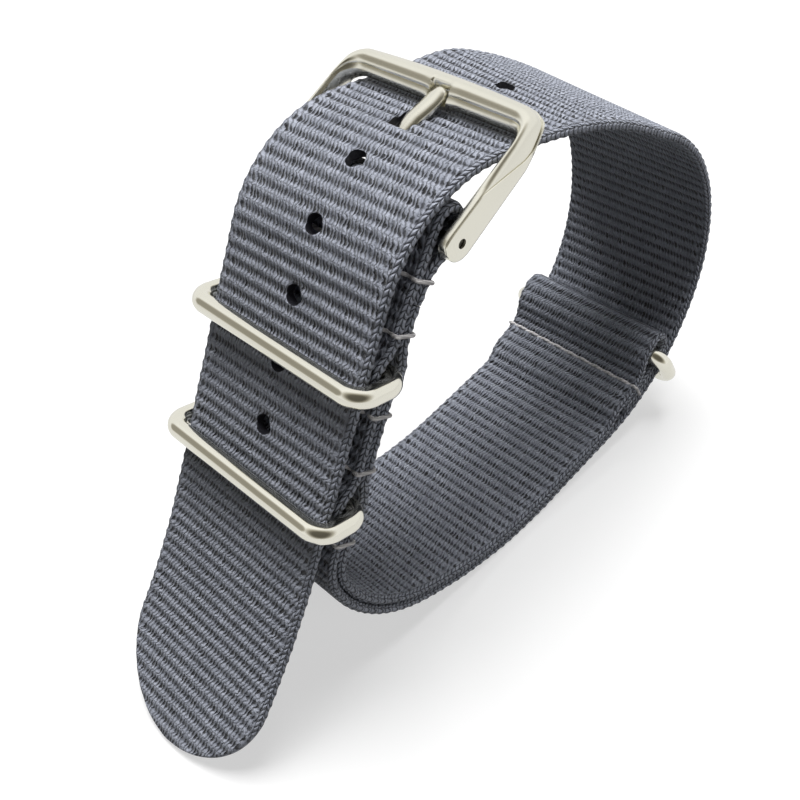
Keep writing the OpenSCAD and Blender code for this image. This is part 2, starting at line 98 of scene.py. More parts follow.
@dataclass(frozen=True)
class Pose:
    """A place on the path: x and z in millimetres, and the heading in radians."""

    x: float
    z: float
    heading: float

    def beside(self, d: float) -> Point2:
        """Return the point at distance d from the path, towards the wrist."""
        return self.x - d * math.sin(self.heading), self.z + d * math.cos(self.heading)

    def on(self, run: float, turn: float, radius: float) -> "Pose":
        """Return the pose further along a straight stretch or a bend.

        Args:
            run: Distance to go.
            turn: Turn of the whole bend in degrees, 0 for a straight stretch.
            radius: Radius of the bend.

        Returns:
            The pose at the end of the run.
        """
        if turn == 0:
            step = Vector((math.cos(self.heading), math.sin(self.heading))) * run
            return Pose(self.x + step.x, self.z + step.y, self.heading)
        side = math.copysign(1, turn)
        ahead = self.heading + side * run / radius
        return Pose(
            self.x - side * radius * (math.sin(self.heading) - math.sin(ahead)),
            self.z + side * radius * (math.cos(self.heading) - math.cos(ahead)),
            ahead,
        )


@dataclass(frozen=True)
class Step:
    """A part of the path: a straight stretch, or a bend where turn isn't 0."""

    size: float
    turn: float = 0.0

    @property
    def length(self) -> float:
        """Length along the path."""
        return self.size if self.turn == 0 else self.size * abs(math.radians(self.turn))


@dataclass(frozen=True)
class StrapPath:
    """The main ribbon's path, and the places of the layers beside it, as the solids have them."""

    start: Pose = Pose(-5.84071, 52.1565, math.radians(233.6))
    steps: tuple[Step, ...] = (
        Step(7.6), Step(12, 8), Step(24.7), Step(7.5, 44.5), Step(20.2, 49.5), Step(43.2, 33),
        Step(12), Step(22.4, 139.5), Step(6.14738), Step(58.6, 26.5), Step(14.3, 67),
        Step(29.1299), Step(100, -16),
    )
    web_t: float = 1.2
    layer_pitch: float = 1.25
    fold_at: float = -1.2
    pin_at: float = -0.1
    fold_d: float = 1.41011
    fold_r: float = 1.5
    fold_row_at: float = 4.3
    return_end: float = 6.6
    short_from: float = 6.75
    keeper_ats: Point2 = (13.9, 28.4)
    keeper_row_off: float = 4.2
    swell_half: float = 3.6
    outer_swell: float = 1.4
    inner_swell: float = 0.85
    keeper_leg_d: float = 0.35
    end_ring_at: float = 107.4
    end_leg_d: float = 3.45
    end_loop_at: float = 108.6
    end_loop_r: float = 1.75
    end_row_at: float = 101.6
    flap_d: float = 1.7
    flap_end: float = 98.4
    seam_d: float = 2.95
    rise: Point2 = (94.0, 97.8)
    crest: Point2 = (102.0, 107.2)
    bulge_from: Point2 = (125.0, 153.6)
    bulge_to: Point2 = (175.2, 163.0)
    bulge_lift: float = 1.0
    bulge_turn: float = math.radians(4.9)
    hole_ats: tuple[float, ...] = (
        167.404, 174.354, 188.254, 195.204, 202.154, 209.104, 216.054, 223.004,
    )
    fine: float = 0.08
    arc_step: float = 0.05

    @property
    def end(self) -> float:
        """Station of the tail's tip."""
        return sum(step.length for step in self.steps)

    @property
    def pin(self) -> Point2:
        """Axis of the buckle's pin."""
        return self.pose(self.pin_at).beside(self.fold_d)

    @property
    def fold_mid(self) -> Point2:
        """Middle of the fold's bend, in which the pin sags a little."""
        return self.pose(self.fold_at).beside(self.fold_d)

    def pose(self, s: float) -> Pose:
        """Follow the path's steps to a station.

        Args:
            s: The station, which is the distance from the path's start.

        Returns:
            The pose there.
        """
        here, left = self.start, s
        for step in self.steps[:-1]:
            if left < step.length:
                return here.on(left, step.turn, step.size)
            here, left = here.on(step.length, step.turn, step.size), left - step.length
        return here.on(left, self.steps[-1].turn, self.steps[-1].size)

    def swells(self, s: float) -> float:
        """Return how far a layer swells over the keeper rings' legs at s, from 0 to 1."""
        return sum(swell((s - at) / self.swell_half) for at in self.keeper_ats)

    def to_fold(self, s: float) -> float:
        """Return how far a layer has opened towards the fold at s, from 0 to 1."""
        return 1 - ramp(s, (self.pin_at, self.fold_row_at))

    def bulge(self, s: float) -> float:
        """Return how far the ribbon bulges behind the buckle at s, from 0 to 1."""
        return ramp(s, self.bulge_from) * ramp(s, self.bulge_to)

    def main_d(self, s: float) -> float:
        """Return the main ribbon's distance from the path at s."""
        opened = (self.fold_d - self.fold_r) * self.to_fold(s)
        return opened - self.outer_swell * self.swells(s) - self.bulge_lift * self.bulge(s)

    def short_d(self, s: float) -> float:
        """Return the short ribbon's distance from the path.

        Args:
            s: The station.

        Returns:
            The distance, which grows towards the fold, over the rings' legs and to the end loop.
        """
        opened = (self.fold_d + self.fold_r - self.layer_pitch) * self.to_fold(s)
        rise = (self.seam_d - self.layer_pitch) * ramp(s, self.rise)
        crest = (self.end_leg_d + self.end_loop_r - self.seam_d) * ramp(s, self.crest)
        return self.layer_pitch + opened + self.inner_swell * self.swells(s) + rise + crest

    def lay(self, distance: Callable[[float], float], start: float, stop: float) -> list[Point2]:
        """Return the points beside the path from one station to another."""
        return [self.pose(s).beside(distance(s)) for s in spread(start, stop, self.fine)]

    def main_line(self) -> list[Point2]:
        """Lay the middle of the main ribbon.

        Returns:
            Its points from the folded-back end to the tail's tip.
        """
        back = self.lay(self.short_d, self.fold_at, self.return_end)[::-1]
        apex = self.start.heading + math.pi
        bends = spread(-QUARTER, QUARTER, self.arc_step)[1:-1]
        fold = arc(self.fold_mid, self.fold_r, [apex + bend for bend in bends])
        return back + fold + self.lay(self.main_d, self.fold_at, self.end)

    def main_turns(self) -> list[float]:
        """Return the main ribbon's twist at each point of its line, in radians."""
        along = [self.bulge_turn * self.bulge(s) for s in spread(self.fold_at, self.end, self.fine)]
        return [0.0] * (len(self.main_line()) - len(along)) + along

    def short_line(self) -> list[Point2]:
        """Lay the middle of the short ribbon.

        Returns:
            Its points from the cut end to the end of the folded end.
        """
        along = self.lay(self.short_d, self.short_from, self.end_loop_at)
        top = self.pose(self.end_loop_at)
        bends = spread(0, math.pi, self.arc_step)[1:-1]
        angles = [top.heading + QUARTER - bend for bend in bends]
        turn = arc(top.beside(self.end_leg_d), self.end_loop_r, angles)
        return along + turn + self.lay(lambda _: self.flap_d, self.flap_end, self.end_loop_at)[::-1]


def operation(name: str, swapped: bool = False) -> Callable[..., "Signal"]:
    """Make a method of Signal that adds a Math node.

    Args:
        name: The node's operation.
        swapped: Whether the signal is the last value instead of the first.

    Returns:
        The method.
    """
    def method(self: "Signal", *others: "Term") -> "Signal":
        """Return the node's result."""
        values = (*others, self) if swapped else (self, *others)
        return self.graph.math(name, *values)

    return method


class Signal:
    """A value in a node graph, on which arithmetic adds Math nodes."""

    __add__ = operation("ADD")
    __sub__ = operation("SUBTRACT")
    __rsub__ = operation("SUBTRACT", swapped=True)
    __mul__ = operation("MULTIPLY")
    __truediv__ = operation("DIVIDE")
    __pow__ = operation("POWER")
    __abs__ = operation("ABSOLUTE")
    at_least = operation("MAXIMUM")
    at_most = operation("MINIMUM")
    floor = operation("FLOOR")
    fract = operation("FRACT")
    sign = operation("SIGN")
    cosine = operation("COSINE")

    def __init__(self, graph: "Graph", socket: bpy.types.NodeSocket) -> None:
        """Take the graph, and the socket that puts the value out."""
        self.graph = graph
        self.socket = socket

    def off_middle(self) -> "Signal":
        """Return the distance from the middle between whole numbers, from -0.5 to 0.5."""
        return self.fract() - 0.5

    def smooth(self, low: float, high: float) -> "Signal":
        """Return the smooth step of this value from 0 at low to 1 at high."""
        inputs = {"Value": self, "From Min": low, "From Max": high}
        return self.graph.read("ShaderNodeMapRange", 0, inputs, interpolation_type="SMOOTHSTEP")


Term = Signal | float


class Graph:
    """A node tree that is written node by node."""

    def __init__(self, tree: Tree) -> None:
        """Take the tree that the nodes go into."""
        self.tree = tree

    def feed(self, node: Node, values: Inputs) -> None:
        """Link sockets of a node to signals, or set their constants.

        Args:
            node: The node.
            values: The signal or the constant of each socket, by its name or number.
        """
        for key, value in values.items():
            if isinstance(value, Signal):
                self.tree.links.new(value.socket, node.inputs[key])
            else:
                node.inputs[key].default_value = value

    def node(self, kind: str, inputs: Inputs | None = None, **settings: object) -> Node:
        """Add a node.

        Args:
            kind: The node's type name.
            inputs: What its sockets are fed.
            **settings: Attributes of the node.

        Returns:
            The new node.
        """
        made = self.tree.nodes.new(kind)
        for key, value in settings.items():
            setattr(made, key, value)
        self.feed(made, inputs or {})
        return made

    def read(
        self, kind: str, output: str | int, inputs: Inputs | None = None, **settings: object
    ) -> Signal:
        """Add a node as node() does, and return the signal of one of its outputs."""
        return Signal(self, self.node(kind, inputs, **settings).outputs[output])

    def math(self, operation: str, *values: Term) -> Signal:
        """Return the result of a Math node."""
        return self.read("ShaderNodeMath", 0, dict(enumerate(values)), operation=operation)

    def dot(self, vector: Signal, other: Point3) -> Signal:
        """Return the dot product of a vector and a constant one."""
        inputs = {0: vector, 1: other}
        return self.read("ShaderNodeVectorMath", "Value", inputs, operation="DOT_PRODUCT")

    def mix(self, share: Signal, first: Signal | Colour, second: Signal | Colour) -> Signal:
        """Return the mix of two colours."""
        a, b = ((*item, 1.0) if isinstance(item, tuple) else item for item in (first, second))
        return self.read("ShaderNodeMix", 2, {0: share, 6: a, 7: b}, data_type="RGBA")

    def noise(self, vector: Signal, scale: float, detail: float = 2.0) -> Signal:
        """Return a noise texture's factor."""
        inputs = {"Vector": vector, "Scale": scale, "Detail": detail}
        return self.read("ShaderNodeTexNoise", "Fac", inputs)

    def dice(self, a: Signal, b: Signal) -> Signal:
        """Return a random number for each whole step of a and of b."""
        cell = self.read("ShaderNodeCombineXYZ", 0, {0: a.floor(), 1: b.floor()})
        inputs = {"Vector": cell}
        return self.read("ShaderNodeTexWhiteNoise", "Value", inputs, noise_dimensions="2D")

    def axes(self, vector: Signal) -> list[Signal]:
        """Return a vector's x, y and z."""
        parts = self.node("ShaderNodeSeparateXYZ", {0: vector})
        return [Signal(self, output) for output in parts.outputs]

    def rays(self) -> tuple[Signal, Signal]:
        """Tell the kinds of rays apart.

        Returns:
            1 for rays that come straight or through glass from the camera, and 1 for glossy ones.
        """
        path = self.node("ShaderNodeLightPath").outputs
        kinds = ("Is Camera Ray", "Is Transmission Ray", "Is Glossy Ray")
        camera, through, glossy = (Signal(self, path[kind]) for kind in kinds)
        return camera.at_least(through), glossy


class Group(Graph):
    """The graph of a shader node group."""

    def __init__(self, name: str, inputs: dict[str, float | None], outputs: Sequence[str]) -> None:
        """Start the group.

        Args:
            name: Name of the group.
            inputs: Each input's name and default number, or None for a vector.
            outputs: Names of the outputs, all numbers.
        """
        super().__init__(bpy.data.node_groups.new(name, "ShaderNodeTree"))
        sockets = self.tree.interface
        for key, value in inputs.items():
            kind = "NodeSocketVector" if value is None else "NodeSocketFloat"
            socket = sockets.new_socket(name=key, in_out="INPUT", socket_type=kind)
            if value is not None:
                socket.default_value = value
        for key in outputs:
            sockets.new_socket(name=key, in_out="OUTPUT", socket_type="NodeSocketFloat")
        source = self.node("NodeGroupInput")
        self.given = {key: Signal(self, source.outputs[key]) for key in inputs}
        self.target = self.node("NodeGroupOutput")


class Surface(Graph):
    """The graph of a material, round its Principled shader."""

    def __init__(self, name: str) -> None:
        """Start a material.

        Args:
            name: Its name.
        """
        self.material = bpy.data.materials.new(name)
        self.material.use_nodes = True
        super().__init__(self.material.node_tree)
        self.shader = self.tree.nodes["Principled BSDF"]

    def place(self) -> Signal:
        """Return the place on the object."""
        return self.read("ShaderNodeTexCoord", "Object")

    def finish(
        self, values: dict[str, object], height: Signal, distance: float, strength: float = 1.0
    ) -> Material:
        """Feed the shader, with a relief.

        Args:
            values: The shader's colour and constants.
            height: The relief.
            distance: Depth of the relief in metres.
            strength: Strength of the relief.

        Returns:
            The material.
        """
        inputs = {"Height": height, "Distance": distance, "Strength": strength}
        normal = self.read("ShaderNodeBump", 0, inputs)
        self.feed(self.shader, {**values, "Normal": normal})
        return self.material


@dataclass(frozen=True)
class RibbedWeave:
    """The weave of the webbing: ribs across it, yarns along it, and cords round its edges.

    Pitches and places are in millimetres. The gaps between the yarns open in the valleys between
    the ribs as dashes and on the ribs' crests as dots; the gaps, the edge cords' grooves and a band
    along each valley are darkened with painted shade.
    """

    rib_pitch: float = 1.4
    yarn_pitch: float = 0.46
    slant: float = 1.1
    lean_turns: float = math.pi / 50
    lean_from: float = 200.0
    row_shift: float = 0.5
    drift: float = 1.5
    drift_scale: float = 1.6
    knot_pitch: float = 0.66
    knots_from: float = 9.2
    dash_least: float = 0.6
    dash_reach: float = 0.3
    dash_rise: Point2 = (0.28, 0.85)
    dash_widens: float = 0.42
    split_rise: Point2 = (0.6, 1.0)
    split_least: float = 0.34
    dot_within: Point2 = (0.45, 0.95)
    dot_crest: Point2 = (0.75, 1.0)
    dot_depth: float = 0.5
    valley_shade_rise: Point2 = (0.3, 1.0)
    valley_shade_depth: float = 0.42
    edge_from: float = 10.42
    edge_rise: Point2 = (-0.05, 0.05)
    cord_width: float = 0.47
    cord_slope: float = 0.75
    cord_wander: float = 0.6
    wander_scale: float = 1.3
    rim_share: float = 0.94
    groove_shade_rise: Point2 = (0.5, 1.0)
    groove_shade_depth: float = 0.92
    gap_relief: float = 0.7
    yarn_relief: float = 0.9

    def group(self) -> Tree:
        """Write the group that puts out the relief, the painted shade of the gaps and the tone of
        each yarn.

        Returns:
            The group.
        """
        inputs = {
            "Place": None, "Rib Pitch": self.rib_pitch, "Yarn Pitch": self.yarn_pitch,
            "Slant": self.slant, "Edge From": self.edge_from,
        }
        g = Group("RibbedWeave", inputs, ("Relief", "Gap", "Tone"))
        place = g.given["Place"]
        run, side, _ = g.axes(place)
        ribs = run / g.given["Rib Pitch"]
        rows = ribs + 0.5
        from_valley = rows.off_middle()
        valley = 1.0 - abs(from_valley) * 2.0
        crest = 1.0 - valley
        row_inputs = {"W": rows.floor()}
        row = g.read("ShaderNodeTexWhiteNoise", "Value", row_inputs, noise_dimensions="1D")
        drift = g.noise(place, self.drift_scale) * self.drift
        turn = ((run - self.lean_from) * self.lean_turns).cosine()
        lean = from_valley * g.given["Slant"] * turn
        out = abs(side)
        plain = out.at_most(self.knots_from) / g.given["Yarn Pitch"]
        knots = (out - self.knots_from).at_least(0.0) / self.knot_pitch
        columns = (plain + knots) * side.sign()
        yarns = columns + lean + (row * self.row_shift + drift)
        between = abs(yarns.off_middle()) * 2.0
        each = g.dice(rows, yarns + 0.5)

        strength = each * (1 - self.dash_least) + self.dash_least
        low_part = (valley + (each - 0.5) * self.dash_reach).smooth(*self.dash_rise)
        split = (between + low_part * self.dash_widens).smooth(*self.split_rise)
        dash = split * (low_part * (1 - self.split_least) + self.split_least) * strength
        dot = (1.0 - between).smooth(*self.dot_within) * crest.smooth(*self.dot_crest)
        opened = dash.at_least(dot * (row * self.dot_depth))
        # Painted shade: a dark band along each valley between the ribs.
        valley_shade = valley.smooth(*self.valley_shade_rise) * self.valley_shade_depth
        body_gap_shade = opened + valley_shade * (1.0 - opened)

        past = out - g.given["Edge From"]
        edge = past.smooth(*self.edge_rise)
        body = 1.0 - edge
        column = past / self.cord_width
        in_column = column.off_middle()
        sense = 1.0 - g.math("FLOORED_MODULO", column.floor(), 2.0) * 2.0
        wander = g.noise(place, self.wander_scale) * self.cord_wander
        cords = ribs * 2.0 + (in_column * sense * self.cord_slope + wander)
        cord = abs(cords.off_middle()) * 2.0
        rim = abs(in_column) * 2.0
        # Painted shade in the grooves between the edge cords.
        groove = cord.at_least(rim * self.rim_share).smooth(*self.groove_shade_rise) * self.groove_shade_depth
        strand = g.dice(cords, column)

        body_low = opened * self.gap_relief + between ** 2.0 * self.yarn_relief
        edge_low = cord ** 2.0 + rim ** 3.0
        # The gap output is one mask of painted shade over gaps, valleys and edge grooves.
        g.feed(g.target, {
            "Relief": 1.0 - (body_low * body + edge_low * edge),
            "Gap": (body_gap_shade * body + groove * edge).at_most(1.0),
            "Tone": each * body + strand * edge,
        })
        return g.tree


@dataclass(frozen=True)
class WebbingFinish:
    """Matt slate-grey nylon webbing."""

    weave: RibbedWeave = RibbedWeave()
    crest: Colour = (0.495, 0.522, 0.602)
    yarn: Colour = (0.223, 0.239, 0.286)
    # Near black: painted shade in the gaps between the yarns and along the valleys.
    gap_shade: Colour = (0.006, 0.006, 0.008)
    patch_scale: float = 0.35
    patch_rise: Point2 = (0.35, 0.65)
    patch_share: float = 0.2
    fibre_scale: float = 9.0
    fibre_share: float = 0.45
    fibre_relief: float = 0.25
    relief: float = 0.00024
    relief_strength: float = 0.9
    roughness: float = 0.6
    sheen: float = 0.1
    sheen_roughness: float = 0.45

    def material(self) -> Material:
        """Make the material, whose pattern follows the ribbon's own map.

        Returns:
            The material.
        """
        g = Surface("grey_nylon_webbing")
        place = g.read("ShaderNodeUVMap", 0, uv_map="weave")
        weave = g.node("ShaderNodeGroup", {"Place": place}, node_tree=self.weave.group())
        relief, gap_shade, tone = (Signal(g, weave.outputs[key]) for key in ("Relief", "Gap", "Tone"))
        patches = g.noise(place, self.patch_scale, 3.0).smooth(*self.patch_rise)
        fibres = g.noise(place, self.fibre_scale)
        tone = tone * (1 - self.fibre_share) + fibres * self.fibre_share
        tone = tone * (1 - self.patch_share) + patches * self.patch_share
        values = {
            # The gap mask lays painted shade over the yarns' colour.
            "Base Color": g.mix(gap_shade, g.mix(tone, self.yarn, self.crest), self.gap_shade),
            "Roughness": self.roughness,
            "Sheen Weight": self.sheen,
            "Sheen Roughness": self.sheen_roughness,
            "Specular IOR Level": 0.5,
        }
        height = relief + fibres * self.fibre_relief
        return g.finish(values, height, self.relief, self.relief_strength)


@dataclass(frozen=True)
class MeltedShadeFinish:
    """The slightly glossy wall of a hole that was punched hot, made near black with painted shade.
    """

    # Near black: painted shade inside the holes.
    colour: Colour = (0.012, 0.012, 0.015)
    paler: Colour = (0.03, 0.03, 0.036)
    bead_scale: float = 2600.0
    roughness: float = 0.4
    relief: float = 0.00008

    def material(self) -> Material:
        """Make the material.

        Returns:
            The material.
        """
        g = Surface("melted_edge_painted_shade")
        beads = g.noise(g.place(), self.bead_scale)
        colour = g.mix(beads, self.colour, self.paler)
        return g.finish({"Base Color": colour, "Roughness": self.roughness}, beads, self.relief)


class Metal(Enum):
    """The grades of the steel: name, roughness and how much of its brightness it keeps."""

    POLISHED = ("polished_steel", 0.13, 1.0)
    SATIN = ("satin_steel", 0.24, 1.0)
    # Painted shade: this steel keeps a sixth of its brightness, so the spring bar's tips look dark
    # in the pin holes.
    TARNISHED = ("steel_darkened_with_painted_shade", 0.4, 0.16)


@dataclass(frozen=True)
class SteelFinish:
    """Polished steel with a warm, near-white tone and the traces of its polishing."""

    grade: Metal = Metal.POLISHED
    colour: Colour = (0.87, 0.85, 0.745)
    darker: float = 0.93
    tint_scale: float = 90.0
    traces_name: str = "PolishTraces"
    line_stretch: Point3 = (6.0, 0.6, 6.0)
    line_scale: float = 900.0
    line_relief: float = 0.3
    cloud_scale: float = 160.0
    cloud_change: float = 0.22
    relief: float = 0.00002
    relief_strength: float = 0.35

    def traces(self) -> Tree:
        """Find or write the group that puts out the polishing traces' relief and roughness.

        Returns:
            The group.
        """
        made = bpy.data.node_groups.get(self.traces_name)
        if made:
            return made
        inputs = {"Place": None, "Roughness": 0.2}
        g = Group(self.traces_name, inputs, ("Roughness", "Relief"))
        place = g.given["Place"]
        mapping = g.read("ShaderNodeMapping", 0, {"Vector": place, "Scale": self.line_stretch})
        lines = g.noise(mapping, self.line_scale, 3.0)
        clouds = g.noise(place, self.cloud_scale, 3.0)
        g.feed(g.target, {
            "Roughness": g.given["Roughness"] + (clouds - 0.5) * self.cloud_change,
            "Relief": lines * self.line_relief + clouds,
        })
        return g.tree

    def material(self) -> Material:
        """Make the material.

        Returns:
            The material.
        """
        name, roughness, shade = self.grade.value
        g = Surface(name)
        place = g.place()
        inputs = {"Place": place, "Roughness": roughness}
        traces = g.node("ShaderNodeGroup", inputs, node_tree=self.traces())
        tone = tuple(shade * c for c in self.colour)
        darker = tuple(self.darker * c for c in tone)
        values = {
            "Base Color": g.mix(g.noise(place, self.tint_scale), tone, darker),
            "Metallic": 1.0,
            "Roughness": Signal(g, traces.outputs["Roughness"]),
        }
        height = Signal(g, traces.outputs["Relief"])
        return g.finish(values, height, self.relief, self.relief_strength)


@dataclass(frozen=True)
class ThreadFinish:
    """Pale grey spun thread."""

    colour: Colour = (0.90, 0.87, 0.87)
    dark: Colour = (0.62, 0.60, 0.60)
    twist_scale: float = 900.0
    twist_distortion: float = 1.5
    roughness: float = 0.7
    sheen: float = 0.3
    relief: float = 0.00006

    def material(self) -> Material:
        """Make the material, with the thread's twist in its colour and relief.

        Returns:
            The material.
        """
        g = Surface("pale_thread")
        inputs = {
            "Vector": g.place(), "Scale": self.twist_scale, "Distortion": self.twist_distortion,
        }
        wave = g.read("ShaderNodeTexWave", "Fac", inputs, bands_direction="DIAGONAL")
        values = {
            "Base Color": g.mix(wave, self.dark, self.colour),
            "Roughness": self.roughness,
            "Sheen Weight": self.sheen,
        }
        return g.finish(values, wave, self.relief)


def select_only(piece: Piece) -> None:
    """Leave one object selected and active."""
    bpy.ops.object.select_all(action="DESELECT")
    piece.select_set(True)
    bpy.context.view_layer.objects.active = piece


def apply_modifier(piece: Piece, kind: str, **settings: object) -> None:
    """Add a modifier to a piece, set it and apply it.

    Args:
        piece: The piece that it finishes.
        kind: The modifier's type.
        **settings: The modifier's attributes.
    """
    select_only(piece)
    made = piece.modifiers.new(kind.title(), kind)
    for key, value in settings.items():
        setattr(made, key, value)
    bpy.ops.object.modifier_apply(modifier=made.name)


def fill_ends() -> None:
    """Fill the open ends of the mesh in edit mode, turn its faces outwards and leave the mode."""
    bpy.ops.mesh.select_all(action="DESELECT")
    bpy.ops.mesh.select_non_manifold()
    bpy.ops.mesh.fill_holes(sides=0)
    bpy.ops.mesh.select_all(action="SELECT")
    bpy.ops.mesh.normals_make_consistent(inside=False)
    bpy.ops.object.mode_set(mode="OBJECT")


def smooth_below(piece: Piece, degrees: float = 38.0) -> None:
    """Shade a piece smooth where its faces meet at less than an angle."""
    select_only(piece)
    bpy.ops.object.shade_smooth_by_angle(angle=math.radians(degrees))


def wire(name: str, points: Sequence[Vector], radius: float, sides: int = 3) -> Piece:
    """Make a round wire or thread along a closed line of points.

    Args:
        name: Name of the piece.
        points: The wire's middle, in metres.
        radius: The wire's radius, in metres.
        sides: Bevel resolution of the curve.

    Returns:
        The wire as a mesh.
    """
    curve = bpy.data.curves.new(name, "CURVE")
    curve.dimensions = "3D"
    spline = curve.splines.new("POLY")
    spline.points.add(len(points) - 1)
    for item, point in zip(spline.points, points):
        item.co = (*point, 1.0)
    spline.use_cyclic_u = True
    curve.bevel_depth = radius
    curve.bevel_resolution = sides
    piece = bpy.data.objects.new(name, curve)
    bpy.context.collection.objects.link(piece)
    select_only(piece)
    bpy.ops.object.convert(target="MESH")
    bpy.ops.object.shade_smooth()
    return bpy.context.object


def loft(name: str, sections: Sequence[Sequence[Vector]]) -> Piece:
    """Skin a row of closed sections by extruding the first one from place to place.

    Args:
        name: Name of the piece.
        sections: The sections, each with the same number of points, in metres.

    Returns:
        The closed mesh, with its ends filled.
    """
    bpy.ops.mesh.primitive_circle_add(vertices=len(sections[0]), radius=MM, fill_type="NOTHING")
    piece = bpy.context.object
    piece.name = name
    bpy.ops.object.mode_set(mode="EDIT")
    bpy.ops.mesh.select_all(action="SELECT")
    for index, section in enumerate(sections):
        if index:
            bpy.ops.mesh.extrude_edges_indiv()
        shell = bmesh.from_edit_mesh(piece.data)
        shell.verts.ensure_lookup_table()
        ring = [vert for vert in shell.verts if vert.select]
        ring.sort(key=lambda vert: vert.index)
        for vert, point in zip(ring, section):
            vert.co = point
        bmesh.update_edit_mesh(piece.data)
    fill_ends()
    return piece


def rod(
    spot: Point2, radius: float, half: float, turn: Point3 = (QUARTER, 0, 0), sides: int = 48
) -> Piece:
    """Add a cylinder, for a cut or a round piece.

    Args:
        spot: Its middle, as x and z.
        radius: Its radius.
        half: Half its length.
        turn: Its rotation, which lays it across the webbing unless another is given.
        sides: Number of its sides.

    Returns:
        The cylinder, with its place in its mesh.
    """
    bpy.ops.mesh.primitive_cylinder_add(
        vertices=sides, radius=radius * MM, depth=2 * half * MM,
        location=(spot[0] * MM, 0, spot[1] * MM), rotation=turn,
    )
    bpy.ops.object.transform_apply(location=True, rotation=True, scale=True)
    return bpy.context.object


def join(pieces: Sequence[Piece], name: str) -> Piece:
    """Join pieces into one object.

    Args:
        pieces: The pieces.
        name: Name of the whole.

    Returns:
        The whole.
    """
    select_only(pieces[0])
    for piece in pieces:
        piece.select_set(True)
    bpy.ops.object.join()
    pieces[0].name = name
    return pieces[0]


def cut(piece: Piece, cutters: Sequence[Piece]) -> None:
    """Cut shapes out of a piece and delete the shapes.

    Args:
        piece: The piece.
        cutters: The shapes.
    """
    tool = join(cutters, "cutter") if len(cutters) > 1 else cutters[0]
    apply_modifier(piece, "BOOLEAN", operation="DIFFERENCE", object=tool, solver="MANIFOLD")
    bpy.data.objects.remove(tool, do_unlink=True)


def finish_piece(piece: Piece, body: str, slot: str, node: str, *materials: Material) -> None:
    """Dress a piece, let it ride on its body and replace its solid.

    Args:
        piece: The finished piece.
        body: The body that it rides on.
        slot: The record's material slot; not used.
        node: The solid that it stands for.
        *materials: Its materials, in the order of its slots.
    """
    piece.data.materials.clear()
    for material in materials:
        piece.data.materials.append(material)
    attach(piece, body)
    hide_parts(node)
    LOG.info("%s: %d faces on %s", piece.name, len(piece.data.polygons), body)


